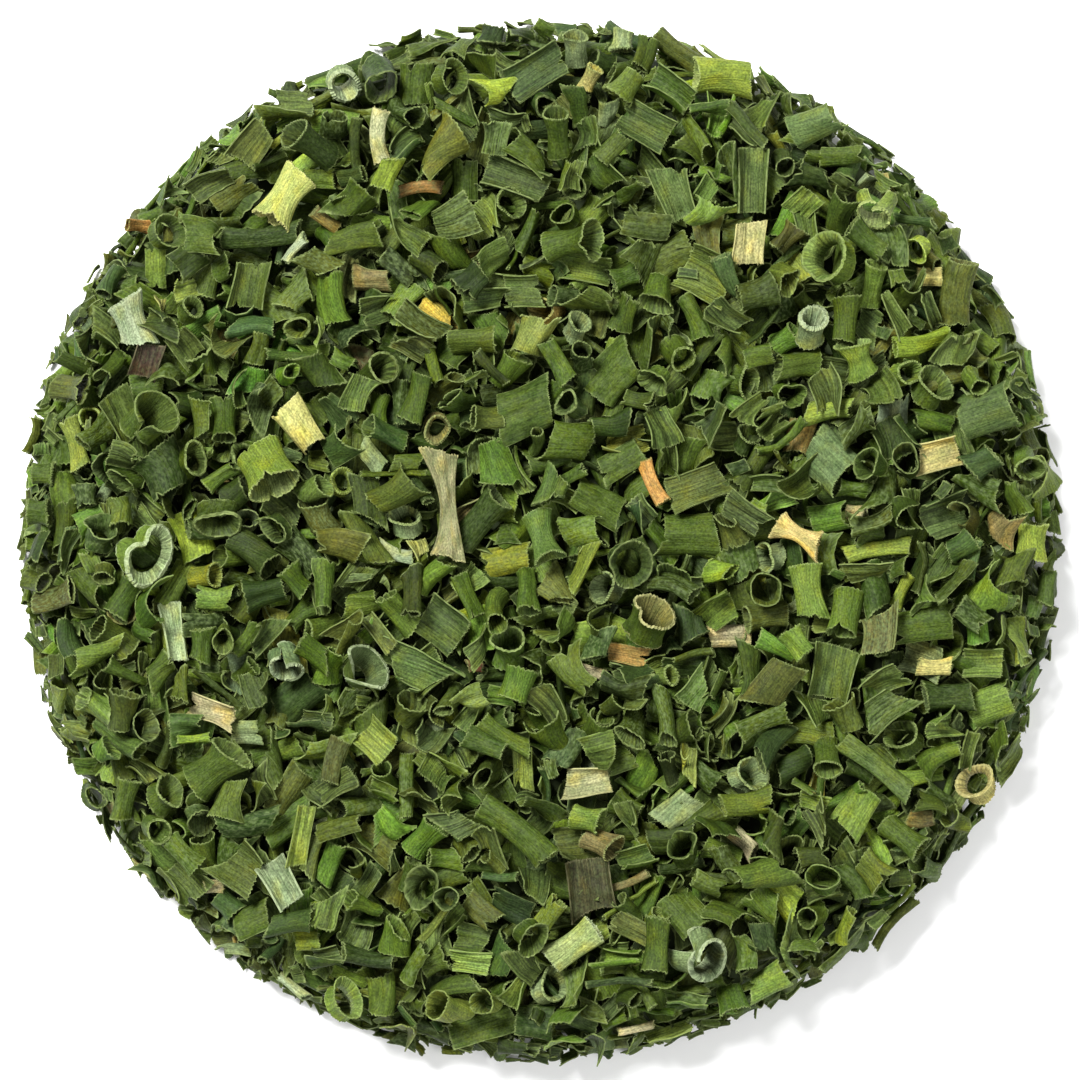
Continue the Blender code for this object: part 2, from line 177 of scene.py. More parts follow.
def cut_leaf(rng, length, width, closed=False, curl=0.0, flat=1.0, waist=0.92, taper=0.0, mouth=0.0,
             bow=0.0, sway=0.0, twist=0.0, dent=0.0, dent_at=None, crumple=0.3, ragged=0.07,
             slant=0.0, edge_roll=0.0, crease=0.0, corner=0.0, tear=0.0, wall=THIN_WALL,
             rows=9, columns=24):
    """A cut length of dried leaf, whole or split along its side, with its length along X: the outer
    and inner skin in millimetres as rows x columns of points, each point's place in the leaf's
    grain, and how far it is from a cut edge."""
    step = np.linspace(-1, 1, rows)
    along = (0.6 * step + 0.4 * np.sin(step * math.pi / 2))[:, None]
    wide = width * (waist + (1 - waist) * np.abs(along) ** 1.8) * (1 + taper * along)
    wide = wide * (1 + mouth * np.clip(along, 0, 1) ** 2)
    if closed:
        angle = np.linspace(0, 2 * math.pi, columns, endpoint=False)[None, :]
        side = np.cos(angle)
        swell = 1 + 0.012 * np.cos(columns // 4 * angle) * np.ones((rows, 1))
        for lobes in (2, 3, 4):
            strength = crumple * rng.uniform(0.10, 0.45) / lobes
            shift = rng.uniform(0, 6.3) + rng.uniform(-1.2, 1.2) * along
            swell += strength * np.cos(lobes * angle + shift)
        if dent_at is None:
            fold = (angle - math.pi / 2 - rng.uniform(-0.5, 0.5)) / 0.6
            swell *= 1 - dent * np.exp(-fold ** 2) * (1 - 0.5 * along ** 2)
        else:
            fold = (np.mod(angle - dent_at + math.pi, 2 * math.pi) - math.pi) / 0.42
            swell *= 1 - dent * np.exp(-fold ** 2)
        pinch = 1 + rng.uniform(-0.2, 0.2) * along
        across = wide / 2 * swell * np.cos(angle)
        height = wide / 2 * swell * flat * pinch * np.sin(angle)
        around = np.broadcast_to(angle * width / 2, swell.shape)
        from_cut = length / 2 * (1 - np.abs(along)) + 0 * side
    else:
        side = np.linspace(-1, 1, columns)[None, :]
        lean = curl / 2 * side * (1 + rng.uniform(-0.3, 0.3) * along)
        lean = lean + edge_roll * np.sign(side) * np.abs(side) ** 4
        lean = lean + crease / 2 * np.tanh((side - rng.uniform(-0.4, 0.4)) / 0.10)
        for waves in (1, 2, 3):
            strength = crumple * rng.uniform(0.3, 1.0) / math.sqrt(waves)
            shift = rng.uniform(0, 6.3) + rng.uniform(-1.5, 1.5) * along
            lean = lean + strength * np.sin(waves * math.pi * side + shift)
        part = wide / (columns - 1)
        across = np.cumsum(np.cos(lean) * part, axis=1)
        height = np.cumsum(np.sin(lean) * part, axis=1)
        middle = columns // 2
        across = across - across[:, middle:middle + 1]
        height = height - height[:, middle:middle + 1]
        around = side * width / 2 + 0 * along
        from_cut = np.minimum(length * (1 - np.abs(along)), 1.4 * width * (1 - np.abs(side))) / 2
    reach = along * length / 2 + 0 * side
    for end in (-1, 1):
        teeth = np.abs(rng.normal(0, ragged, columns)) * (-1.0) ** np.arange(columns)
        nibble = teeth + slant * rng.uniform(-1, 1) * side[0] * width / 2
        nibble = nibble + rng.normal(0, 0.05) * width / 2 * np.cos(2 * np.arccos(side[0]))
        if rng.uniform() < tear:
            slit = (side[0] - rng.uniform(-0.8, 0.8)) / rng.uniform(0.06, 0.20)
            nibble = nibble - rng.uniform(0.25, 0.9) * np.exp(-slit ** 2)
        reach = reach + end * nibble * np.clip(end * along, 0, 1) ** 4
    across = across + sway * along ** 2 * length / 2
    height = height + bow * along ** 2 * length / 2
    if corner:
        lifted = np.clip(rng.choice([-1, 1]) * side + rng.choice([-1, 1]) * along - 0.5, 0, None)
        height = height + corner * lifted ** 2
    turn = twist * along / 2
    across, height = (across * np.cos(turn) - height * np.sin(turn),
                      across * np.sin(turn) + height * np.cos(turn))
    for _ in range(3):
        run = rng.uniform(0, 6.3)
        wave = 2 * math.pi / rng.uniform(1.4, 3.6)
        ripple = np.sin(wave * (reach * math.cos(run) + across * math.sin(run)) + rng.uniform(0, 6.3))
        height = height + crumple * 0.13 * ripple
    middle_skin = np.stack([reach, across, height], axis=2)
    if closed:
        round_edge = np.roll(middle_skin, -1, axis=1) - np.roll(middle_skin, 1, axis=1)
    else:
        round_edge = np.gradient(middle_skin, axis=1)
    normal = np.cross(round_edge, np.gradient(middle_skin, axis=0))
    normal /= np.linalg.norm(normal, axis=2, keepdims=True) + 1e-12
    return {"skins": np.stack([middle_skin + normal * wall / 2, middle_skin - normal * wall / 2]),
            "grain": np.stack([around, reach], axis=2), "from_cut": from_cut, "closed": closed}


woven = {}


def skin_faces(rows, columns, closed):
    """Corners of the four-sided faces of a two-skinned piece and where each corner lies in the
    piece's own square of the baked sheet: outer skin left, inner skin right, cut rims above and below."""
    key = (rows, columns, closed)
    if key in woven:
        return woven[key]
    points = rows * columns
    steps = columns if closed else columns - 1
    i, j = np.meshgrid(np.arange(rows - 1), np.arange(steps), indexing="ij")
    i, j = i.ravel(), j.ravel()
    after = (j + 1) % columns
    outer = np.stack([i * columns + j, i * columns + after,
                      (i + 1) * columns + after, (i + 1) * columns + j], axis=1)
    u = np.stack([j, j + 1, j + 1, j], axis=1) / steps
    v = np.stack([i, i, i + 1, i + 1], axis=1) / (rows - 1)
    faces = [outer, outer[:, ::-1] + points]
    sheet = [np.stack([0.04 + 0.44 * u, 0.08 + 0.84 * v], axis=2),
             np.stack([0.52 + 0.44 * u[:, ::-1], 0.08 + 0.84 * v[:, ::-1]], axis=2)]
    j = np.arange(steps)
    after = (j + 1) % columns
    for row, low, order in ((0, 0.01, [1, 0, 3, 2]), (rows - 1, 0.94, [0, 1, 2, 3])):
        ring = row * columns
        rim = np.stack([ring + j, ring + after, ring + after + points, ring + j + points], axis=1)
        ru = np.stack([j, j + 1, j + 1, j], axis=1) / steps
        rv = np.broadcast_to(np.array([0, 0, 1, 1]), ru.shape)
        faces.append(rim[:, order])
        sheet.append(np.stack([0.04 + 0.44 * ru, low + 0.05 * rv], axis=2)[:, order])
    if not closed:
        i = np.arange(rows - 1)
        for column, low, order in ((0, 0.01, [0, 1, 2, 3]), (columns - 1, 0.94, [1, 0, 3, 2])):
            start = i * columns + column
            rim = np.stack([start, start + columns, start + columns + points, start + points], axis=1)
            ru = np.stack([i, i + 1, i + 1, i], axis=1) / (rows - 1)
            rv = np.broadcast_to(np.array([0, 0, 1, 1]), ru.shape)
            faces.append(rim[:, order])
            sheet.append(np.stack([0.52 + 0.44 * ru, low + 0.05 * rv], axis=2)[:, order])
    woven[key] = (np.concatenate(faces), np.concatenate(sheet))
    return woven[key]


def lay_up(name, leaves, material, slot_name, *nodes):
    """One object from settled pieces, each with its own tint, grain and square of the baked sheet."""
    grid = math.ceil(math.sqrt(len(leaves)))
    points, faces, sheets, tints, grains, states = [], [], [], [], [], []
    count = 0
    for number, leaf in enumerate(leaves):
        _, rows, columns, _ = leaf["skins"].shape
        corners, sheet = skin_faces(rows, columns, leaf["closed"])
        skin_points = rows * columns
        points.append(leaf["skins"].reshape(-1, 3) * MM)
        faces.append(corners + count)
        sheets.append((sheet + np.array([number % grid, number // grid])) / grid)
        tints.append(np.broadcast_to(np.array([*leaf["tint"], 1]), (2 * skin_points, 4)))
        place = leaf["grain"].reshape(-1, 2)
        seed = np.full((skin_points, 1), leaf["number"])
        for inside in (0, 1):
            grains.append(np.concatenate([place, seed + 0.37 * inside], axis=1))
            state = np.ones((skin_points, 4))
            state[:, 0] = np.clip(leaf["from_cut"], 0, 1).ravel()
            state[:, 1] = inside * leaf["inner"]
            state[:, 2] = leaf["bloom"]
            states.append(state)
        count += 2 * skin_points
    points, faces = np.concatenate(points), np.concatenate(faces)
    mesh = bpy.data.meshes.new(name)
    mesh.vertices.add(len(points))
    mesh.vertices.foreach_set("co", points.ravel())
    mesh.loops.add(faces.size)
    mesh.loops.foreach_set("vertex_index", faces.ravel().astype(np.int32))
    mesh.polygons.add(len(faces))
    mesh.polygons.foreach_set("loop_start", np.arange(0, faces.size, 4, dtype=np.int32))
    mesh.polygons.foreach_set("use_smooth", np.ones(len(faces), bool))
    mesh.update(calc_edges=True)
    mesh.uv_layers.new(name="OFBake").data.foreach_set("uv", np.concatenate(sheets).ravel())
    mesh.attributes.new("leaf_tint", "FLOAT_COLOR", "POINT").data.foreach_set(
        "color", np.concatenate(tints).ravel())
    mesh.attributes.new("leaf_grain", "FLOAT_VECTOR", "POINT").data.foreach_set(
        "vector", np.concatenate(grains).ravel())
    mesh.attributes.new("leaf_state", "FLOAT_COLOR", "POINT").data.foreach_set(
        "color", np.concatenate(states).ravel())
    mesh.set_sharp_from_angle(angle=math.radians(55))
    mesh.materials.append(material)
    piece = bpy.data.objects.new(name, mesh)
    scene.collection.objects.link(piece)
    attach(piece, "root")
    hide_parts(*nodes)


def wire(tree, node_type, **settings):
    """A shader node with its properties set."""
    node = tree.nodes.new(node_type)
    for key, value in settings.items():
        setattr(node, key, value)
    return node


def plug(tree, value, socket):
    """Links a socket's value, or sets a fixed one."""
    if hasattr(value, "is_linked"):
        tree.links.new(value, socket)
    else:
        socket.default_value = value


def mix_colour(tree, factor, first, second, blend="MIX"):
    """A colour mix of two sockets or fixed colours."""
    node = wire(tree, "ShaderNodeMix", data_type="RGBA", blend_type=blend)
    plug(tree, factor, node.inputs[0])
    plug(tree, first, node.inputs[6])
    plug(tree, second, node.inputs[7])
    return node.outputs[2]


def spread(tree, value, low, high, from_low=0.0, from_high=1.0):
    """A value's range stretched to another, and held at its ends."""
    node = wire(tree, "ShaderNodeMapRange")
    plug(tree, value, node.inputs["Value"])
    for socket, number in (("From Min", from_low), ("From Max", from_high), ("To Min", low),
                           ("To Max", high)):
        node.inputs[socket].default_value = number
    return node.outputs["Result"]


def grain_noise(tree, grain, stretch, detail, from_low, from_high):
    """Noise drawn out along the leaf, in millimetres, with its middle spread from 0 to 1."""
    scaled = wire(tree, "ShaderNodeVectorMath", operation="MULTIPLY")
    scaled.inputs[1].default_value = stretch
    tree.links.new(grain, scaled.inputs[0])
    noise = wire(tree, "ShaderNodeTexNoise")
    noise.inputs["Scale"].default_value = 1
    noise.inputs["Detail"].default_value = detail
    tree.links.new(scaled.outputs[0], noise.inputs["Vector"])
    return spread(tree, noise.outputs["Fac"], 0, 1, from_low, from_high)


def product(tree, first, second):
    """Two values multiplied."""
    node = wire(tree, "ShaderNodeMath", operation="MULTIPLY")
    plug(tree, first, node.inputs[0])
    plug(tree, second, node.inputs[1])
    return node.outputs[0]


def dried_leaf(name, rib=0.34, inner_colour=(0.10, 0.13, 0.04, 1), edge_colour=(0.21, 0.26, 0.09, 1)):
    """Dried leaf: fine ribs and hairline fibres that show most on the paler inside, a rough skin,
    lighter and darker patches, a grey bloom and a broken pale line along every cut edge."""
    material = bpy.data.materials.new(name)
    material.use_nodes = True
    tree = material.node_tree
    shader = tree.nodes["Principled BSDF"]
    shader.inputs["Roughness"].default_value = 0.62
    shader.inputs["Specular IOR Level"].default_value = 0.12
    tint = wire(tree, "ShaderNodeAttribute", attribute_name="leaf_tint").outputs["Color"]
    grain = wire(tree, "ShaderNodeAttribute", attribute_name="leaf_grain").outputs["Vector"]
    state = wire(tree, "ShaderNodeAttribute", attribute_name="leaf_state")
    parts = wire(tree, "ShaderNodeSeparateColor")
    tree.links.new(state.outputs["Color"], parts.inputs["Color"])
    from_cut, inside, bloom = parts.outputs

    ribs = grain_noise(tree, grain, (4.2, 0.16, 3.1), 1, 0.34, 0.66)
    fibres = grain_noise(tree, grain, (9.0, 0.5, 7.3), 2, 0.33, 0.67)
    rough_skin = grain_noise(tree, grain, (5.5, 4.5, 4.9), 3, 0.33, 0.67)
    patches = grain_noise(tree, grain, (0.8, 0.6, 5.7), 3, 0.38, 0.70)
    warmth = grain_noise(tree, grain, (0.5, 0.35, 11.3), 2, 0.50, 0.75)

    inner = mix_colour(tree, 0.45, tint, inner_colour)
    colour = mix_colour(tree, inside, tint, inner)
    ribbed = mix_colour(tree, 1.0, colour, spread(tree, ribs, 1 - 2 * rib, 1 + rib), "MULTIPLY")
    colour = mix_colour(tree, spread(tree, inside, 0.28, 1.0), colour, ribbed)
    colour = mix_colour(tree, 1.0, colour, spread(tree, fibres, 0.74, 1.22), "MULTIPLY")
    colour = mix_colour(tree, 1.0, colour, spread(tree, rough_skin, 0.60, 1.36), "MULTIPLY")
    deep = mix_colour(tree, 1.0, colour, (0.62, 0.70, 0.62, 1), "MULTIPLY")
    colour = mix_colour(tree, patches, colour, deep)
    warm = mix_colour(tree, 1.0, colour, (1.35, 1.15, 0.62, 1), "MULTIPLY")
    colour = mix_colour(tree, warmth, colour, warm)
    haze = product(tree, grain_noise(tree, grain, (3.4, 2.2, 9.1), 4, 0.45, 0.78), bloom)
    colour = mix_colour(tree, haze, colour, (0.105, 0.145, 0.052, 1))
    worn = spread(tree, grain_noise(tree, grain, (1.9, 1.9, 6.1), 3, 0.40, 0.62), 0.25, 1.0)
    rim = product(tree, spread(tree, from_cut, 1, 0, 0.03, 0.14), worn)
    colour = mix_colour(tree, rim, colour, mix_colour(tree, 0.6, colour, edge_colour))
    tree.links.new(colour, shader.inputs["Base Color"])

    relief = wire(tree, "ShaderNodeMath", operation="MULTIPLY_ADD")
    tree.links.new(ribs, relief.inputs[0])
    tree.links.new(spread(tree, inside, 0.45, 1.0), relief.inputs[1])
    tree.links.new(product(tree, rough_skin, 0.35), relief.inputs[2])
    bump = wire(tree, "ShaderNodeBump")
    bump.inputs["Strength"].default_value = 0.8
    bump.inputs["Distance"].default_value = 0.08 * MM
    tree.links.new(relief.outputs[0], bump.inputs["Height"])
    tree.links.new(bump.outputs["Normal"], shader.inputs["Normal"])
    return material


def turned(heading, rise, roll):
    """Rotation that lays local X along a heading, raises its far end and rolls it about itself."""
    h, r, t = (math.radians(a) for a in (heading, rise, roll))
    about_z = np.array([[math.cos(h), -math.sin(h), 0], [math.sin(h), math.cos(h), 0], [0, 0, 1]])
    about_y = np.array([[math.cos(r), 0, -math.sin(r)], [0, 1, 0], [math.sin(r), 0, math.cos(r)]])
    about_x = np.array([[1, 0, 0], [0, math.cos(t), -math.sin(t)], [0, math.sin(t), math.cos(t)]])
    return about_z @ about_y @ about_x


def tilted(slope_x, slope_y):
    """Rotation from level to a surface with these slopes."""
    steep = math.hypot(slope_x, slope_y)
    if steep < 1e-6:
        return np.eye(3)
    angle = math.atan(min(steep, 1.6))
    ax, ay = -slope_y / steep, slope_x / steep
    c, s = math.cos(angle), math.sin(angle)
    return np.array([[c + ax * ax * (1 - c), ax * ay * (1 - c), ay * s],
                     [ax * ay * (1 - c), c + ay * ay * (1 - c), -ax * s],
                     [-ay * s, ax * s, c]])


# The bed's height for each small square of the ground, and how high the pieces over it may reach.
CELL = 0.25
HALF_MAP = 54.0
coarse = np.arange(-HALF_MAP, HALF_MAP + 0.01, 1.0)
coarse_heights = np.array([[bed_height(x, y) for y in coarse] for x in coarse])
cells = int(2 * HALF_MAP / CELL)
middles = -HALF_MAP + CELL * (np.arange(cells) + 0.5)
low = (middles + HALF_MAP).astype(int)
share = (middles + HALF_MAP) % 1
rows_mixed = coarse_heights[low] * (1 - share)[:, None] + coarse_heights[low + 1] * share[:, None]
target = rows_mixed[:, low] * (1 - share)[None, :] + rows_mixed[:, low + 1] * share[None, :]
ceiling = target + 0.9
kept_cells = np.zeros_like(target, dtype=bool)
loose_probes = []
numbering = iter(range(100000))


def slope_of(heights, x, y, half=7):
    """Mean slope of a height map around a place."""
    i, j = int((x + HALF_MAP) / CELL), int((y + HALF_MAP) / CELL)
    window = heights[i - half:i + half + 1, j - half:j + half + 1]
    offsets = (np.arange(2 * half + 1) - half) * CELL
    weight = (offsets ** 2).sum() * len(offsets)
    return ((window * offsets[:, None]).sum() / weight, (window * offsets[None, :]).sum() / weight)


def probe_points(leaf):
    """Enough points of a piece's middle skin to feel what lies under it."""
    middle_skin = leaf["skins"].mean(axis=0)
    between = (middle_skin[1:] + middle_skin[:-1]) / 2
    return np.concatenate([middle_skin.reshape(-1, 3), between.reshape(-1, 3)])


def map_cells(points):
    """Height-map squares under some points."""
    spot = ((points[:, :2] + HALF_MAP) / CELL).astype(int).clip(0, cells - 1)
    return spot[:, 0], spot[:, 1]


def fix_in_place(leaf, turn, shift, tint, inner, bloom):
    """Moves a piece to where it settled and gives it its colour."""
    leaf["skins"] = leaf["skins"] @ turn.T + shift
    leaf.update(tint=tint, inner=inner, bloom=bloom, number=next(numbering))
    return leaf


def lay_loose(name, leaf, heading, rise, roll, slot_name, tint, inner=0.5, bloom=0.25):
    """Puts a piece where its plain solid rests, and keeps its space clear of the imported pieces."""
    low, high = (np.array(corner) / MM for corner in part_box(name))
    middle = (low + high) / 2
    inward = 1 - 2 / HEAP_RADIUS
    slope = slope_of(target, middle[0] * inward, middle[1] * inward)
    turn = tilted(slope[0] / 2, slope[1] / 2) @ turned(heading, rise, roll)
    points = probe_points(leaf) @ turn.T
    shift = np.array([middle[0], middle[1], 0]) - (points.min(axis=0) + points.max(axis=0)) / 2
    shift[2] = low[2] - points[:, 2].min()
    points = points + shift
    i, j = map_cells(points)
    np.minimum.at(ceiling, (i, j), points[:, 2] + 0.1)
    kept_cells[i, j] = True
    loose_probes.append(points)
    fix_in_place(leaf, turn, shift, tint, inner, bloom)
    lay_up(name + "_leaf", [leaf], leaf_finishes[slot_name], slot_name, name)


GREEN = (0.040, 0.063, 0.0062)
DARK_GREEN = (0.019, 0.033, 0.0040)
LIGHT_GREEN = (0.096, 0.142, 0.020)
PALE = (0.150, 0.190, 0.085)
WHITE_GREEN = (0.230, 0.270, 0.160)
STRAW = (0.330, 0.290, 0.095)
leaf_finishes = {
    "green_leaf": dried_leaf("green_leaf"),
    "dark_leaf": dried_leaf("dark_leaf", inner_colour=(0.06, 0.08, 0.03, 1)),
    "bright_leaf": dried_leaf("bright_leaf", rib=0.24, inner_colour=(0.17, 0.22, 0.08, 1)),
    "pale_leaf": dried_leaf("pale_leaf", rib=0.20, inner_colour=(0.26, 0.30, 0.19, 1),
                            edge_colour=(0.32, 0.37, 0.22, 1)),
    "straw_leaf": dried_leaf("straw_leaf", rib=0.16, inner_colour=(0.22, 0.17, 0.07, 1),
                             edge_colour=(0.42, 0.40, 0.18, 1)),
}

# name: leaning towards, lean, size along and across the lean, height, wall, flare of the mouth,
# direction and depth of a notch in the rim, slot, tint, paleness inside
RINGS = {
    "ring_dark_west": (40, 24, 2.5, 2.8, 2.6, THIN_WALL, 0.20, 0, 0.0, "green_leaf", GREEN, 0.4),
    "ring_thick_north_west": (-60, 16, 2.6, 2.5, 2.0, PALE_WALL, 0.10, 0, 0.0, "pale_leaf", PALE, 0.7),
    "ring_ribbed_north": (20, 28, 2.5, 2.8, 2.4, THIN_WALL, 0.25, 150, 0.2, "green_leaf", GREEN, 0.5),
    "ring_thick_east": (165, 30, 3.6, 3.9, 3.2, FLESHY_WALL, 0.25, 230, 0.2, "bright_leaf",
                        LIGHT_GREEN, 0.7),
    "ring_oval_east": (78, 42, 2.2, 2.2, 3.2, PALE_WALL, 0.15, 0, 0.0, "pale_leaf", PALE, 1.0),
    "ring_heart_west": (-25, 24, 4.0, 4.9, 2.6, PALE_WALL, 0.25, 125, 0.48, "pale_leaf",
                        LIGHT_GREEN, 1.0),
    "ring_ribbed_centre": (-30, 14, 3.2, 3.3, 2.6, THIN_WALL, 0.45, 200, 0.2, "green_leaf",
                           DARK_GREEN, 0.3),
    "ring_leaning_centre": (62, 42, 3.0, 3.8, 3.8, FLESHY_WALL, 0.10, 190, 0.35, "straw_leaf",
                            GREEN, 0.9),
    "ring_light_south": (20, 24, 2.6, 3.4, 2.2, THIN_WALL, 0.20, 0, 0.0, "bright_leaf",
                         LIGHT_GREEN, 0.5),
    "ring_straw_east": (120, 16, 2.8, 3.0, 2.0, FLESHY_WALL, 0.30, 0, 0.0, "straw_leaf", STRAW, 1.0),
}
FINE_CLOSED = {"closed": True, "rows": 17, "columns": 72}

loose_rng = np.random.default_rng(7)
for name, (heading, lean, along, across, height, wall, mouth, notch, depth, slot_name, tint,
           inner) in RINGS.items():
    ring = cut_leaf(loose_rng, height, across, flat=along / across, waist=0.85, mouth=mouth,
                    dent=depth, dent_at=math.radians(notch - heading - 90), crumple=0.16,
                    slant=0.15, wall=wall, **FINE_CLOSED)
    lay_loose(name, ring, heading, 90 - lean, 0, slot_name, tint, inner)

# ---------------------------------------------------------------------------
# Tubes: longer cuts of whole leaf, pressed, waisted and twisted as they dried, some raised so that
# an end shows its hollow. They lie loose on the heap, each where its plain solid rests.
# ---------------------------------------------------------------------------
BRIGHT_GREEN = (0.062, 0.118, 0.012)
YELLOW_GREEN = (0.150, 0.190, 0.024)
OLIVE = (0.052, 0.062, 0.009)
leaf_finishes["yellow_leaf"] = dried_leaf("yellow_leaf", rib=0.20, inner_colour=(0.24, 0.27, 0.12, 1),
                                          edge_colour=(0.28, 0.33, 0.12, 1))
leaf_finishes["olive_leaf"] = dried_leaf("olive_leaf", inner_colour=(0.14, 0.12, 0.05, 1))

# name: heading of the raised end, rise, length, width, waist, flatness, flare of the raised mouth,
# depth of the dent, slot, tint, paleness inside
TUBES = {
    "hourglass_torn": (238, 12, 5.4, 3.6, 0.72, 0.60, 0.10, 0.2, "straw_leaf", (0.29, 0.31, 0.085), 0.7),
    "hourglass_papery": (110, 8, 4.3, 3.6, 0.74, 0.45, 0.0, 0.2, "pale_leaf", WHITE_GREEN, 0.8),
    "tube_ribbed_north_west": (145, 34, 5.2, 2.5, 0.85, 0.85, 0.25, 0.1, "dark_leaf", DARK_GREEN, 0.7),
    "tube_yellow_north": (172, 16, 5.2, 3.3, 0.88, 0.80, 0.0, 0.1, "yellow_leaf", YELLOW_GREEN, 0.8),
    "tube_upright_north": (96, 42, 4.8, 2.1, 0.85, 0.90, 0.15, 0.1, "green_leaf", GREEN, 0.7),
    "tube_funnel_north": (8, 34, 5.0, 3.0, 0.75, 0.85, 0.45, 0.1, "green_leaf", GREEN, 0.8),
    "tube_olive_east": (80, 8, 6.0, 2.8, 0.92, 0.60, 0.0, 0.2, "olive_leaf", OLIVE, 0.4),
    "hourglass_light_east": (110, 20, 3.4, 2.9, 0.66, 0.60, 0.2, 0.3, "bright_leaf", LIGHT_GREEN, 0.8),
    "tube_light_west": (-62, 40, 4.6, 4.7, 0.90, 0.62, 0.10, 0.0, "yellow_leaf",
                        (0.105, 0.145, 0.017), 1.0),
    "hourglass_yellow_west": (-75, 6, 4.8, 1.9, 0.66, 0.55, 0.0, 0.2, "yellow_leaf",
                              (0.13, 0.16, 0.025), 0.5),
    "hourglass_bright_centre": (-75, 26, 4.8, 2.6, 0.68, 0.75, 0.15, 0.2, "bright_leaf",
                                (0.060, 0.100, 0.018), 0.7),
    "hourglass_light_middle": (-80, 6, 5.0, 2.9, 0.76, 0.50, 0.0, 0.2, "bright_leaf", LIGHT_GREEN, 0.5),
    "hourglass_rim_east": (85, 6, 3.4, 3.0, 0.80, 0.55, 0.0, 0.2, "yellow_leaf", YELLOW_GREEN, 0.5),
    "tube_flared_south_west": (40, 26, 5.2, 4.0, 0.74, 0.60, 0.15, 0.2, "green_leaf", GREEN, 0.5),
    "tube_long_south": (-38, 10, 8.0, 2.5, 0.88, 0.80, 0.0, 0.2, "green_leaf", GREEN, 0.5),
    "tube_white_south": (35, 10, 5.2, 2.9, 0.80, 0.60, 0.0, 0.3, "pale_leaf", (0.21, 0.25, 0.09), 0.8),
}
for name, (heading, rise, length, width, waist, flat, mouth, dent, slot_name, tint,
           inner) in TUBES.items():
    tube = cut_leaf(loose_rng, length, width, flat=flat, waist=waist, mouth=mouth, dent=dent,
                    crumple=0.28, slant=0.35, bow=loose_rng.uniform(-0.1, 0.1), wall=0.18,
                    sway=loose_rng.uniform(-0.1, 0.1), twist=loose_rng.uniform(-0.4, 0.4),
                    tear=0.3, **FINE_CLOSED)
    lay_loose(name, tube, heading, rise, 0, slot_name, tint, inner)

# ---------------------------------------------------------------------------
# Curls: leaf that split along its side and rolled as it dried, lying open or standing on an end.
# They are thicker where they come from near the bulb, and lie loose like the rings.
# ---------------------------------------------------------------------------
# name: heading, rise, length, width across, degrees round, flare, wall, slot, tint, paleness inside
CURLS = {
    "curl_boat_north": (-20, 6, 6.0, 3.2, 190, 0.0, 0.16, "green_leaf", DARK_GREEN, 0.5),
    "curl_double_north_east": (88, 4, 6.0, 3.0, 150, 0.0, 0.16, "green_leaf", (0.050, 0.075, 0.015), 0.5),
    "curl_yellow_north_east": (-100, 58, 2.4, 3.2, 320, 0.10, FLESHY_WALL, "yellow_leaf",
                               (0.12, 0.16, 0.03), 0.8),
    "curl_ribbed_west": (42, 44, 3.8, 4.0, 320, 0.15, 0.18, "green_leaf", GREEN, 0.5),
    "curl_sheath_west": (-80, 8, 5.4, 2.2, 170, 0.0, 0.16, "pale_leaf", (0.21, 0.27, 0.12), 0.6),
    "curl_open_centre": (38, 48, 3.2, 3.3, 310, 0.05, 0.30, "pale_leaf", (0.050, 0.075, 0.016), 0.3),
    "curl_pale_south_west": (-60, 14, 4.6, 3.0, 120, 0.0, 0.2, "pale_leaf", (0.110, 0.150, 0.060), 0.6),
    "curl_large_south": (-35, 52, 3.4, 3.9, 330, 0.30, 0.34, "pale_leaf", (0.120, 0.160, 0.065), 1.0),
    "curl_disc_west": (-78, 50, 3.0, 2.6, 350, 0.12, 0.30, "pale_leaf", (0.085, 0.125, 0.050), 1.0),
}
FINE_OPEN = {"rows": 17, "columns": 56}

for name, (heading, rise, length, width, degrees, mouth, wall, slot_name, tint,
           inner) in CURLS.items():
    curl = math.radians(degrees)
    unrolled = width / 2 * curl if degrees > 180 else width * curl / (2 * math.sin(curl / 2))
    piece = cut_leaf(loose_rng, length, unrolled, curl=curl, waist=0.92, mouth=mouth, crumple=0.14,
                     ragged=0.06, slant=0.15, edge_roll=0.5, wall=wall, **FINE_OPEN)
    lay_loose(name, piece, heading, rise, 0, slot_name, tint, inner)

# ---------------------------------------------------------------------------
# Flakes: leaf that split and dried nearly flat, squarish where the knife cut it, with ribs, folds
# and turned-up corners. They lie loose on the heap.
# ---------------------------------------------------------------------------
BLUE_GREEN = (0.028, 0.050, 0.0100)
CREAM = (0.310, 0.270, 0.150)
leaf_finishes["brown_leaf"] = dried_leaf("brown_leaf", inner_colour=(0.10, 0.08, 0.04, 1),
                                         edge_colour=(0.15, 0.14, 0.07, 1))

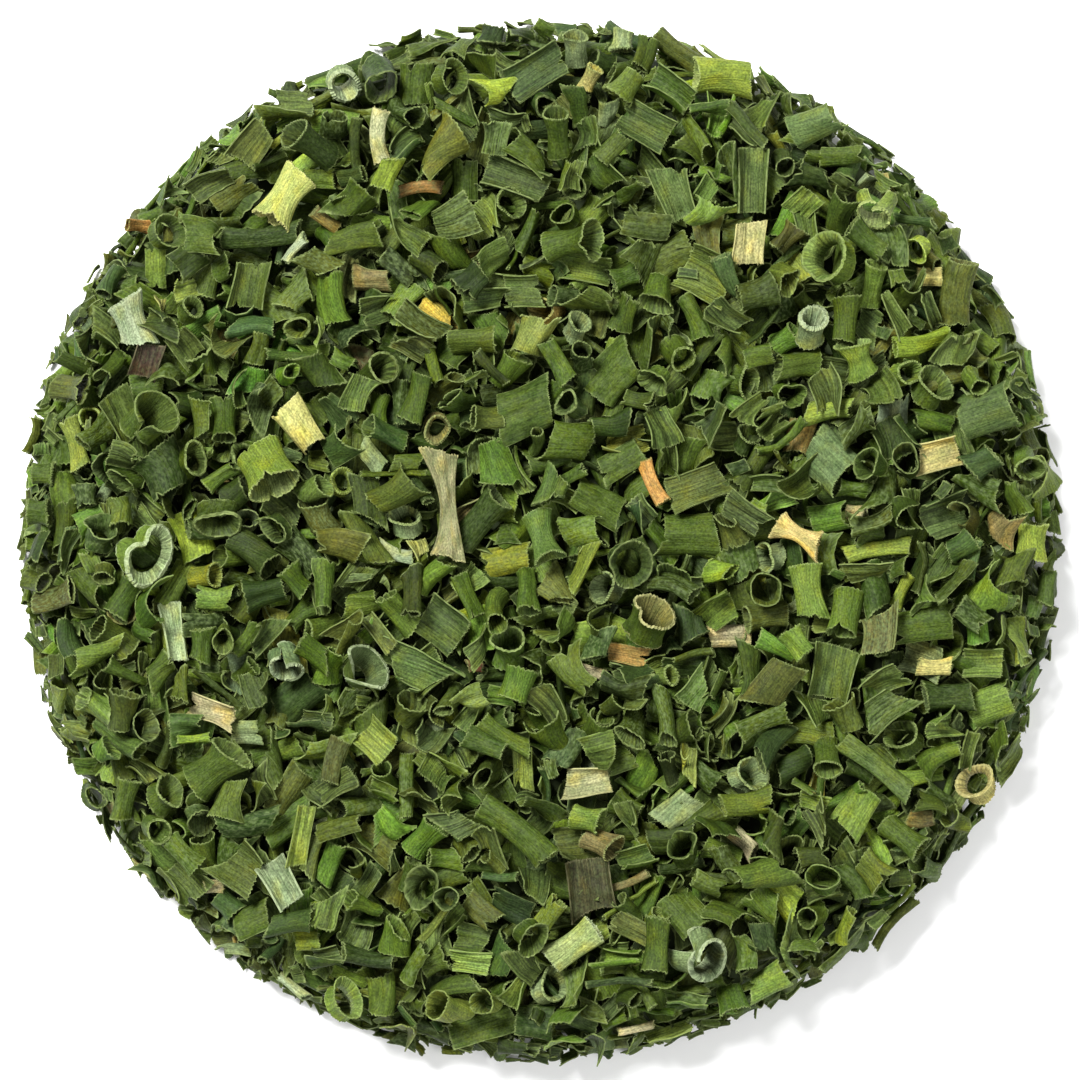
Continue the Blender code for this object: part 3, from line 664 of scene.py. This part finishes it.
# name: heading, rise, length, width, degrees of curl, degrees of twist, slant of the cuts, slot, tint
FLAKES = {
    "flake_large_centre": (20, 5, 5.2, 5.4, 40, 6, 0.35, "dark_leaf", (0.036, 0.058, 0.0085)),
    "flake_blue_north": (35, 4, 5.8, 3.8, 60, 12, 0.2, "dark_leaf", BLUE_GREEN),
    "flake_creased_west": (80, 8, 4.3, 4.0, 110, 6, 0.2, "green_leaf", GREEN),
    "flake_grey_north": (-28, 6, 5.0, 3.7, 60, 8, 0.3, "dark_leaf", (0.042, 0.066, 0.0120)),
    "flake_folded_north": (112, 8, 4.8, 3.6, 120, 6, 0.4, "bright_leaf", (0.058, 0.090, 0.018)),
    "flake_yellow_north": (60, 12, 3.8, 3.6, 110, 12, 0.5, "yellow_leaf", (0.135, 0.160, 0.035)),
    "flake_straw_east": (85, 4, 3.9, 3.2, 60, 6, 0.2, "straw_leaf", (0.33, 0.31, 0.13)),
    "flake_bright_east": (20, 10, 4.6, 3.6, 120, 10, 0.4, "bright_leaf", (0.070, 0.105, 0.032)),
    "flake_straw_west": (-60, 8, 4.6, 3.3, 90, 10, 0.3, "straw_leaf", (0.33, 0.31, 0.10)),
    "flake_diamond_centre": (-35, 6, 4.4, 4.4, 50, 8, 0.1, "dark_leaf", (0.036, 0.060, 0.0095)),
    "flake_pale_east": (20, 8, 3.8, 3.2, 80, 16, 0.4, "straw_leaf", (0.32, 0.28, 0.10)),
    "flake_grey_east": (18, 8, 5.0, 4.2, 110, 6, 0.1, "green_leaf", (0.048, 0.073, 0.018)),
    "flake_ragged_east": (5, 8, 5.4, 3.4, 80, 14, 0.6, "green_leaf", GREEN),
    "flake_creased_south": (80, 8, 5.0, 4.4, 100, 6, 0.2, "green_leaf", (0.045, 0.072, 0.010)),
    "flake_cream_west": (-10, 8, 4.4, 2.5, 90, 16, 0.5, "straw_leaf", CREAM),
    "flake_beige_south": (12, 8, 4.2, 2.9, 90, 12, 0.4, "straw_leaf", (0.22, 0.23, 0.115)),
    "flake_brown_south": (98, 6, 5.2, 4.6, 70, 6, 0.3, "brown_leaf", (0.020, 0.024, 0.007)),
    "flake_lime_south": (25, 8, 3.6, 3.2, 80, 10, 0.4, "bright_leaf", (0.105, 0.160, 0.028)),
    "scrap_purple": (75, 8, 3.2, 3.0, 50, 12, 0.3, "brown_leaf", (0.022, 0.009, 0.009)),
}
for name, (heading, rise, length, width, degrees, twist, slant, slot_name, tint) in FLAKES.items():
    curl = math.radians(degrees)
    unrolled = width * curl / (2 * math.sin(curl / 2))
    piece = cut_leaf(loose_rng, length, unrolled, curl=curl, waist=0.93, crumple=0.30, slant=slant,
                     edge_roll=0.5, bow=loose_rng.uniform(-0.1, 0.15), tear=0.4,
                     corner=loose_rng.choice([0, 0.6]), twist=math.radians(2 * twist), **FINE_OPEN)
    lay_loose(name, piece, heading, rise, 180 * loose_rng.integers(2), slot_name, tint)

# ---------------------------------------------------------------------------
# Strips and stalks: narrow slivers of leaf, a papery length of dead stalk pinched at its middle and
# a waxy bone-shaped offcut, all lying loose.
# ---------------------------------------------------------------------------
TAN = (0.130, 0.105, 0.038)

# name: heading, rise, length, width, waist, flatness, bow, crumpling, slot, tint
STRIPS = {
    "strip_cream_north": (92, 6, 4.8, 1.6, 0.80, 0.5, 0.5, 0.35, "straw_leaf", (0.30, 0.30, 0.16)),
    "strip_brown_rim": (5, 4, 4.0, 1.2, 0.90, 0.5, 0.3, 0.35, "brown_leaf", (0.150, 0.085, 0.025)),
    "strip_long_south_east": (-38, 4, 8.0, 2.0, 0.75, 0.6, 0.2, 0.35, "green_leaf",
                              (0.052, 0.080, 0.016)),
    "stalk_papery": (-85, 4, 10.0, 3.4, 0.40, 0.4, 0.5, 1.0, "straw_leaf", (0.175, 0.165, 0.080)),
    "bone_orange": (-28, 6, 4.4, 3.0, 0.44, 0.5, 0.1, 0.2, "straw_leaf", (0.42, 0.32, 0.115)),
}
for name, (heading, rise, length, width, waist, flat, bow, crumple, slot_name, tint) in STRIPS.items():
    piece = cut_leaf(loose_rng, length, width, flat=flat, waist=waist, crumple=crumple, slant=0.4,
                     dent=0.3, sway=-2 * bow / length, twist=loose_rng.uniform(-0.8, 0.8),
                     **FINE_CLOSED)
    lay_loose(name, piece, heading, rise, 0, slot_name, tint, 0.5, 0.5)

# ---------------------------------------------------------------------------
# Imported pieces: thousands of cut pieces of the same leaves, dropped where the heap is lowest and
# settled on the pieces below, from the shaded inside of the heap up to its surface.
# ---------------------------------------------------------------------------
# share of the pieces and their colour
TINTS = ((0.53, GREEN), (0.15, DARK_GREEN), (0.10, BLUE_GREEN), (0.07, OLIVE), (0.06, LIGHT_GREEN),
         (0.020, YELLOW_GREEN), (0.04, BRIGHT_GREEN), (0.015, PALE), (0.004, STRAW), (0.006, TAN))
# Millimetres: how wide the bands by the rim are that fill first and last and how high they come,
# how deep below the bed's top each pass ends, and how a piece may lie at the floor and the rim.
TOE_WIDTH, TOE_HEIGHT = 2.6, 2.2
FOOT_WIDTH, FOOT_HEIGHT, FOOT_DEPTH = 4.5, 1.8, 1.2
RIM_WIDTH, RIM_HEIGHT, RIM_RISE = 2.8, 3.4, 0.6
BURIED_DEPTH = 2.4
PACKED_DEPTH = 0.3
LOWEST_SKIN = 0.12
RIM_OVERHANG = 0.7
FINE = {True: {"rows": 9, "columns": 36}, False: {"rows": 9, "columns": 28}}
PLAIN = {True: {"rows": 5, "columns": 18}, False: {"rows": 5, "columns": 12}}
heap_rng = np.random.default_rng(21)
core_share = np.clip((HEAP_RADIUS - 2.0 - np.hypot(middles[:, None], middles[None, :])) / 1.5, 0, 1)
top = np.clip(target - CORE_DEPTH, 0, None) * core_share
groups = {}


def raise_map(points):
    """Raises the height map to a settled piece."""
    i, j = map_cells(points)
    height = points[:, 2] + THIN_WALL / 2
    for shift_i in (0, 1):
        for shift_j in (0, 1):
            spot = (np.clip(i + shift_i, 0, cells - 1), np.clip(j + shift_j, 0, cells - 1))
            np.maximum.at(top, spot, height)


def any_tint(rng):
    """One leaf's colour, drawn from the mix the heap has."""
    shares = np.array([share for share, _ in TINTS])
    base = np.array(TINTS[rng.choice(len(TINTS), p=shares / shares.sum())][1])
    shades = np.minimum(rng.normal(0, (0.07, 0.04, 0.23)), 0.2)
    return tuple(base * np.exp(shades + rng.normal(0, 0.27)))


def any_leaf(rng, size, narrow):
    """A random cut piece and the kind it belongs to, with how far it may stand up or roll."""
    kinds = ["flat_flakes", "curled_flakes", "pressed_tubes", "cut_rings", "thin_strips", "small_bits"]
    odds = [0.1, 0.15, 0.30, 0.10, 0.1, 0.25] if narrow else [0.24, 0.22, 0.20, 0.07, 0.07, 0.20]
    kind = rng.choice(kinds, p=odds)
    dried = {"bow": rng.normal(0, 0.13), "sway": rng.normal(0, 0.07), "twist": rng.normal(0, 0.55),
             "taper": rng.normal(0, 0.08), "slant": rng.choice([0.25, 0.9], p=[0.6, 0.4]),
             "tear": 0.25}
    if kind == "flat_flakes":
        leaf = cut_leaf(rng, rng.uniform(2.5, 4.5), rng.uniform(2.0, 3.9), curl=rng.normal(0.5, 0.7),
                        waist=rng.uniform(0.86, 1.04), crumple=rng.uniform(0.2, 0.55),
                        edge_roll=rng.uniform(0, 1.4), crease=rng.choice([0, 1.4], p=[0.7, 0.3]),
                        corner=rng.choice([0, 0.7], p=[0.5, 0.5]), **dried, **size[False])
        return kind, leaf, rng.normal(0, 24), rng.choice([0, 180]) + rng.normal(0, 20)
    if kind == "curled_flakes":
        leaf = cut_leaf(rng, rng.uniform(2.6, 4.8), rng.uniform(3.0, 5.6), curl=rng.uniform(1.4, 4.2),
                        waist=rng.uniform(0.86, 1.04), crumple=rng.uniform(0.15, 0.45),
                        edge_roll=rng.uniform(-0.3, 1.0), mouth=rng.uniform(0, 0.25),
                        corner=rng.choice([0, 0.5], p=[0.7, 0.3]), **dried, **size[False])
        return kind, leaf, rng.normal(0, 34), rng.choice([0, 180]) + rng.normal(0, 50)
    if kind == "pressed_tubes":
        leaf = cut_leaf(rng, rng.uniform(2.5, 5.2), rng.uniform(1.6, 2.8), closed=True,
                        flat=rng.uniform(0.3, 0.95), waist=rng.uniform(0.78, 1.0),
                        dent=rng.uniform(0, 0.5), crumple=rng.uniform(0.2, 0.5),
                        mouth=rng.uniform(0, 0.2), **dried, **size[True])
        return kind, leaf, rng.normal(0, 34), rng.uniform(-30, 30)
    if kind == "cut_rings":
        dried.update(slant=0.25, tear=0.1)
        wall = rng.choice([THIN_WALL, 0.22, 0.34], p=[0.65, 0.27, 0.08])
        leaf = cut_leaf(rng, rng.uniform(1.5, 3.6), rng.uniform(1.6, 2.9), closed=True,
                        flat=rng.uniform(0.6, 1.2), waist=rng.uniform(0.85, 1.0), wall=wall,
                        mouth=rng.uniform(0, 0.35), crumple=rng.uniform(0.25, 0.65),
                        **dried, **size[True])
        return kind, leaf, rng.uniform(35, 85), rng.uniform(0, 360)
    if kind == "small_bits":
        leaf = cut_leaf(rng, rng.uniform(1.0, 2.6), rng.uniform(0.7, 2.0), curl=rng.uniform(0, 2.5),
                        waist=rng.uniform(0.85, 1.0), **dried, **size[False])
        return kind, leaf, rng.normal(0, 25), rng.uniform(0, 360)
    leaf = cut_leaf(rng, rng.uniform(3.0, 6.2), rng.uniform(0.5, 1.2), closed=True,
                    flat=rng.uniform(0.3, 0.7), waist=rng.uniform(0.7, 1.0), crumple=0.4,
                    **dried, **size[True])
    return kind, leaf, rng.normal(0, 14), rng.uniform(0, 360)


def lowest_spot(rng, aim, inner, tries=14):
    """Of some random places past a radius, the one where the heap is furthest below its height."""
    reach = (HEAP_RADIUS - 0.5) * np.sqrt(rng.uniform((inner / HEAP_RADIUS) ** 2, 1, tries))
    angle = rng.uniform(0, 2 * math.pi, tries)
    spots = np.stack([reach * np.cos(angle), reach * np.sin(angle)], axis=1)
    corner = ((spots + HALF_MAP) / CELL).astype(int) - 4
    short = [(aim[i:i + 9, j:j + 9] - top[i:i + 9, j:j + 9]).mean() for i, j in corner]
    best = int(np.argmax(short))
    return spots[best], short[best]


def settle(leaf, x, y, rise, roll, headings, cover_limit, contact=0.93, edge=None, above=0.03):
    """Lowers a piece on the heap with the heading in which it lies lowest. It is moved in or out to
    end at the edge radius, if one is given, or inside the rim. None if nothing fits."""
    slope = slope_of(top, x, y)
    probe = probe_points(leaf)
    best = None
    for heading in headings:
        turn = tilted(*slope) @ turned(heading, rise, roll)
        place = np.array([x, y, 0.0])
        points = probe @ turn.T + place
        reach = np.hypot(points[:, 0], points[:, 1]).max()
        if edge or reach > HEAP_RADIUS + RIM_OVERHANG:
            move = place * ((edge or HEAP_RADIUS + 0.2) - reach) / math.hypot(x, y)
            place, points = place + move, points + move
        i, j = map_cells(points)
        last = int(contact * len(points))
        rests = np.partition(top[i, j] - points[:, 2], last)[last]
        rests = max(rests, LOWEST_SKIN - points[:, 2].min())
        points[:, 2] += rests
        if (points[:, 2] > ceiling[i, j]).mean() > above or kept_cells[i, j].mean() > cover_limit:
            continue
        sits = points[:, 2].mean()
        if best is None or sits < best[0]:
            best = (sits, turn, place + (0, 0, rests), points)
    return best


def pour(rng, aim, size, layer, limit, enough=0.25, cover_limit=1.0, inner=0.0,
         patience=250):
    """Drops random pieces until the heap reaches the height aimed at, or enough of the places tried
    turn out full. Past an inner radius they are narrow, lie along the rim and end at it."""
    misses = 0
    dropped = 0
    while dropped < limit and misses < patience:
        (x, y), short = lowest_spot(rng, aim, inner)
        if short < enough:
            misses += 1
            continue
        kind, leaf, rise, roll = any_leaf(rng, size, inner > 0)
        headings = rng.uniform(0, 360, 4)
        edge = None
        if inner:
            headings = math.degrees(math.atan2(y, x)) + 90 + rng.normal(0, 16, 6)
            if math.hypot(x, y) > HEAP_RADIUS - 1.9:
                edge = HEAP_RADIUS + rng.uniform(-0.7, 0.3)
        found = settle(leaf, x, y, rise, roll, headings, cover_limit, edge=edge)
        if found is None:
            misses += 1
            continue
        _, turn, shift, points = found
        raise_map(points)
        bloom = rng.choice([0.1, 0.35, 0.8], p=[0.5, 0.35, 0.15])
        fix_in_place(leaf, turn, shift, any_tint(rng), rng.uniform(0.3, 0.9), bloom)
        groups.setdefault(kind + "_" + layer, []).append(leaf)
        dropped += 1


from_middle = np.hypot(middles[:, None], middles[None, :])
inside_rim = from_middle < HEAP_RADIUS
toe_aim = np.where(inside_rim & (from_middle > HEAP_RADIUS - TOE_WIDTH), TOE_HEIGHT, 0)
foot_aim = np.where(inside_rim, np.maximum(target - FOOT_DEPTH, FOOT_HEIGHT), 0)
rim_aim = np.where(inside_rim, np.maximum(target + RIM_RISE, RIM_HEIGHT), 0)
pour(heap_rng, toe_aim, FINE, "toe", 400, 0.1, inner=HEAP_RADIUS - TOE_WIDTH, patience=1500)
pour(heap_rng, target - BURIED_DEPTH, PLAIN, "buried", 1600)
pour(heap_rng, foot_aim, FINE, "foot", 500, 0.1, inner=HEAP_RADIUS - FOOT_WIDTH, patience=2000)
pour(heap_rng, target - PACKED_DEPTH, FINE, "packed", 1800)
pour(heap_rng, rim_aim, FINE, "rim", 600, 0.1, inner=HEAP_RADIUS - RIM_WIDTH, patience=2500)

# ---------------------------------------------------------------------------
# Marked pieces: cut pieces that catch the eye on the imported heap, by their size, their pale or brown
# colour or their open mouth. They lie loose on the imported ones, and the last pieces stay off them.
# ---------------------------------------------------------------------------
GREY_GREEN = (0.075, 0.110, 0.040)
MUSTARD = (0.125, 0.135, 0.012)
ORANGE = (0.330, 0.170, 0.045)
RED_BROWN = (0.090, 0.030, 0.015)
MARKED_FLOOR = 5.0
MARKED_ROOM = 3.0

# place, heading, length (height of a ring), width, tint
MARKED_FLAKES = (
    (-30.8, 35.1, -12, 5.7, 2.0, GREY_GREEN), (-28.8, 32.4, 35, 4.3, 2.6, OLIVE),
    (-42.2, 23.4, -35, 4.3, 2.4, OLIVE), (-21.5, 42.2, 10, 3.4, 3.2, GREEN),
    (-33.3, 23.4, 20, 2.4, 1.9, YELLOW_GREEN), (-20.8, 34.0, 0, 2.9, 1.9, LIGHT_GREEN),
    (-27.3, 39.1, 30, 3.8, 3.6, GREEN), (-36.3, 25.7, 90, 3.8, 1.9, LIGHT_GREEN),
    (-11.8, 43.0, 85, 4.0, 3.3, GREEN), (6.5, 40.0, 90, 2.9, 2.1, PALE),
    (-7.1, 33.9, 90, 4.0, 2.6, GREEN), (-15.9, 24.2, 0, 3.4, 2.4, TAN),
    (-1.6, 23.4, 0, 3.4, 3.4, GREEN), (4.3, 25.6, -10, 4.8, 2.9, LIGHT_GREEN),
    (15.5, 32.9, 60, 2.4, 2.1, BRIGHT_GREEN), (28.4, 35.9, 8, 4.0, 2.4, GREEN),
    (24.8, 31.8, 50, 2.9, 2.7, LIGHT_GREEN), (36.8, 24.9, 0, 2.4, 1.9, STRAW),
    (-39.2, 11.8, -65, 5.0, 3.6, GREEN), (-34.4, -4.1, 60, 4.8, 2.4, LIGHT_GREEN),
    (-22.9, -14.7, 40, 4.8, 4.3, BLUE_GREEN), (-3.2, -1.9, 10, 4.3, 3.1, MUSTARD),
    (8.2, -10.9, -10, 3.8, 2.1, ORANGE), (-15.9, 7.8, -45, 3.8, 1.9, PALE),
    (14.7, 4.9, 20, 5.7, 3.6, OLIVE), (5.6, 3.6, -30, 4.8, 3.6, GREEN),
    (6.6, 15.5, 45, 5.3, 4.6, GREEN), (14.2, 0.3, 0, 5.3, 4.8, GREEN), (7.6, 7.4, 30, 4.3, 2.7, GREEN),
    (-15.0, -8.7, -50, 4.3, 1.6, OLIVE), (26.9, 7.6, -45, 5.3, 5.0, GREY_GREEN),
    (32.2, -13.1, 30, 4.0, 2.9, GREEN), (27.0, 1.8, 15, 3.4, 3.2, BRIGHT_GREEN),
    (41.9, -11.6, 0, 3.6, 2.9, LIGHT_GREEN), (42.3, -15.5, 20, 4.3, 3.8, LIGHT_GREEN),
    (17.9, -9.1, 0, 3.8, 2.4, CREAM), (-27.7, -18.1, 0, 2.9, 2.3, PALE),
    (-23.5, -23.7, 60, 4.8, 2.7, OLIVE), (-22.4, -27.8, 80, 5.7, 1.8, YELLOW_GREEN),
    (-43.3, -21.6, 0, 2.4, 1.7, BRIGHT_GREEN), (-42.6, -18.8, 0, 3.6, 3.3, LIGHT_GREEN),
    (-22.0, -37.7, 0, 2.4, 2.2, YELLOW_GREEN), (-28.8, -38.6, 0, 2.7, 1.6, PALE),
    (-27.3, -35.7, 20, 3.4, 3.2, GREEN), (-30.7, -36.1, 0, 3.4, 3.2, GREEN),
    (-1.6, -21.5, 90, 3.8, 1.9, YELLOW_GREEN), (-15.3, -18.8, -40, 3.8, 3.4, YELLOW_GREEN),
    (-5.4, -46.0, 15, 6.4, 2.7, GREEN), (13.5, -34.9, -50, 4.6, 3.6, GREEN),
    (12.3, -46.8, 15, 4.3, 1.9, YELLOW_GREEN), (29.6, -25.4, 60, 4.3, 3.4, LIGHT_GREEN),
    (29.2, -36.4, -80, 3.1, 1.9, LIGHT_GREEN), (35.9, -26.4, 0, 2.4, 1.9, TAN),
    (12.9, -25.4, 40, 3.8, 2.9, PALE),
)
MARKED_TUBES = (
    (3.4, 46.3, 90, 3.3, 2.1, PALE), (13.1, 46.3, -20, 5.3, 2.1, OLIVE),
    (4.7, 43.5, 60, 2.5, 1.4, STRAW), (31.3, 24.0, 75, 4.8, 1.8, LIGHT_GREEN),
    (23.3, 18.9, 30, 2.6, 2.3, BRIGHT_GREEN), (-31.6, -3.4, 15, 3.1, 2.1, MUSTARD),
    (-5.7, 1.8, 45, 6.2, 2.7, DARK_GREEN), (13.8, -14.5, 90, 5.7, 2.3, GREEN),
    (38.5, -14.8, 180, 4.5, 2.6, DARK_GREEN), (21.3, -7.2, 195, 4.0, 2.3, OLIVE),
    (-19.7, -30.2, 60, 4.3, 1.9, BRIGHT_GREEN), (-28.6, -30.7, -75, 5.3, 2.9, GREEN),
    (-39.2, -24.5, 80, 3.8, 1.9, GREEN), (5.7, -28.4, -20, 3.4, 2.4, TAN),
    (4.4, -26.2, 0, 2.9, 2.5, LIGHT_GREEN), (-10.8, -28.0, 60, 3.8, 2.7, BRIGHT_GREEN),
    (-12.3, -31.6, 70, 3.1, 1.4, GREEN), (26.9, -20.3, -85, 3.8, 2.4, GREEN),
    (34.3, -28.0, -40, 4.3, 2.4, GREEN),
)
MARKED_RINGS = (
    (-32.9, 21.6, 0, 2.0, 1.9, GREEN), (-13.6, 46.7, 270, 2.2, 2.8, GREEN),
    (7.8, 47.3, 270, 1.9, 1.9, PALE), (-3.0, 31.5, 45, 2.0, 2.5, GREEN),
    (3.4, 19.9, 60, 2.4, 1.9, PALE), (-18.7, 5.4, 0, 2.0, 2.1, YELLOW_GREEN),
    (-47.4, 2.6, 0, 2.0, 2.3, GREEN), (-47.0, 6.3, 0, 2.0, 1.8, GREEN), (-9.8, 10.6, 0, 2.0, 2.3, TAN),
    (6.5, -4.5, 150, 2.4, 2.5, PALE), (-12.6, 1.7, 90, 2.0, 2.5, PALE),
    (21.7, -1.6, 200, 2.0, 2.3, PALE), (19.0, 15.0, 0, 2.0, 2.8, GREEN),
    (19.3, 9.3, 30, 2.0, 2.0, DARK_GREEN), (36.7, 14.2, 45, 2.4, 3.3, GREEN),
    (34.4, 15.6, 90, 2.0, 2.5, LIGHT_GREEN), (-35.4, -24.0, 0, 2.0, 3.0, GREEN),
    (19.5, -22.3, 60, 2.2, 2.9, PALE), (34.3, -18.8, 90, 2.2, 3.0, GREEN),
    (0.9, -42.0, 0, 2.0, 2.9, PALE),
)
MARKED_STRIPS = (
    (-26.2, 28.4, 5, 7.7, 2.1, DARK_GREEN), (-7.5, 11.8, 50, 7.2, 1.1, OLIVE),
    (20.5, 42.9, 12, 6.7, 0.9, OLIVE), (-13.7, -1.3, -20, 3.4, 1.4, WHITE_GREEN),
    (4.8, -12.3, -15, 2.9, 1.1, CREAM), (-6.1, -11.9, 0, 1.4, 1.1, RED_BROWN),
    (34.1, -4.8, 65, 3.4, 1.2, YELLOW_GREEN), (31.8, -0.8, 8, 6.2, 1.6, YELLOW_GREEN),
    (29.8, 2.6, 0, 2.0, 1.4, CREAM), (-30.9, -32.7, 0, 1.8, 1.4, CREAM),
    (-23.4, -42.3, -50, 3.4, 1.2, WHITE_GREEN), (8.0, -32.4, 20, 5.0, 0.8, TAN),
    (13.3, -30.8, 10, 4.3, 1.2, DARK_GREEN), (9.1, -46.3, 10, 3.4, 0.9, CREAM),
    (19.2, -28.4, -40, 2.9, 1.9, CREAM), (37.1, -12.0, 0, 3.1, 1.7, STRAW),
    (10.5, 5.4, -65, 4.3, 1.4, ORANGE), (-38.1, 29.8, -15, 3.0, 1.3, ORANGE),
    (-20.2, 30.1, -35, 2.9, 1.3, TAN), (-23.0, 27.3, 45, 2.9, 1.3, WHITE_GREEN),
)

ceiling = np.where(kept_cells, ceiling, np.maximum(target, MARKED_FLOOR) + MARKED_ROOM)


def lay_marked(kind, leaf, x, y, heading, rise, roll, tint):
    """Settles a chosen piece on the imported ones, if there is room, and keeps its space clear."""
    found = settle(leaf, x, y, rise, roll, (heading,), cover_limit=0.4, contact=0.88,
                   above=0.12)
    if found is None:
        return
    _, turn, shift, points = found
    raise_map(points)
    kept_cells[map_cells(points)] = True
    fix_in_place(leaf, turn, shift, tint, 0.6, 0.3)
    groups.setdefault(kind, []).append(leaf)


for x, y, heading, length, width, tint in MARKED_FLAKES:
    leaf = cut_leaf(heap_rng, length, width * 1.08, curl=heap_rng.uniform(0.6, 1.6), waist=0.94, slant=0.3,
                    edge_roll=0.5, tear=0.4, corner=heap_rng.choice([0, 0.6]), **FINE_OPEN)
    lay_marked("marked_flakes", leaf, x, y, heading, 6, 180 * heap_rng.integers(2), tint)
for x, y, heading, length, width, tint in MARKED_TUBES:
    leaf = cut_leaf(heap_rng, length, width, flat=0.75, waist=0.84, mouth=0.12, dent=0.2, slant=0.3,
                    wall=0.18, **FINE_CLOSED)
    lay_marked("marked_tubes", leaf, x, y, heading, 22, 0, tint)
for x, y, heading, height, width, tint in MARKED_RINGS:
    leaf = cut_leaf(heap_rng, height, width, waist=0.85, flat=heap_rng.uniform(0.75, 1.0), mouth=0.2,
                    crumple=0.3, slant=0.2, dent=0.25, wall=0.22, **FINE_CLOSED)
    lay_marked("marked_rings", leaf, x, y, heading, 66, 0, tint)
for x, y, heading, length, width, tint in MARKED_STRIPS:
    leaf = cut_leaf(heap_rng, length, width, flat=0.5, waist=0.8, slant=0.4, dent=0.3,
                    sway=heap_rng.uniform(-0.15, 0.15), twist=heap_rng.uniform(-0.8, 0.8), **FINE_CLOSED)
    lay_marked("marked_strips", leaf, x, y, heading, 4, 0, tint)

# ---------------------------------------------------------------------------
# Surface pieces: the last to fall, which fill the hollows between the loose and marked pieces and
# leave those in view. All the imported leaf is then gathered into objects, kind by kind.
# ---------------------------------------------------------------------------
SURFACE_RISE = 1.0
SURFACE_ROOM = 4.5
KEPT_DEPTH = 5
MOST_PIECES = 150

for points in loose_probes:
    raise_map(points)
ceiling = target + SURFACE_ROOM
surface_aim = np.where(kept_cells, target - KEPT_DEPTH, target + SURFACE_RISE)
pour(heap_rng, surface_aim, FINE, "surface", 1300, 0.3, 0.15, patience=450)

for name, leaves in groups.items():
    share = math.ceil(len(leaves) / MOST_PIECES) if not name.endswith("buried") else 1
    for number in range(share):
        batch = leaves[number::share]
        lay_up(f"{name}_{number + 1}", batch, leaf_finishes["green_leaf"], "green_leaf", "packed_chives")
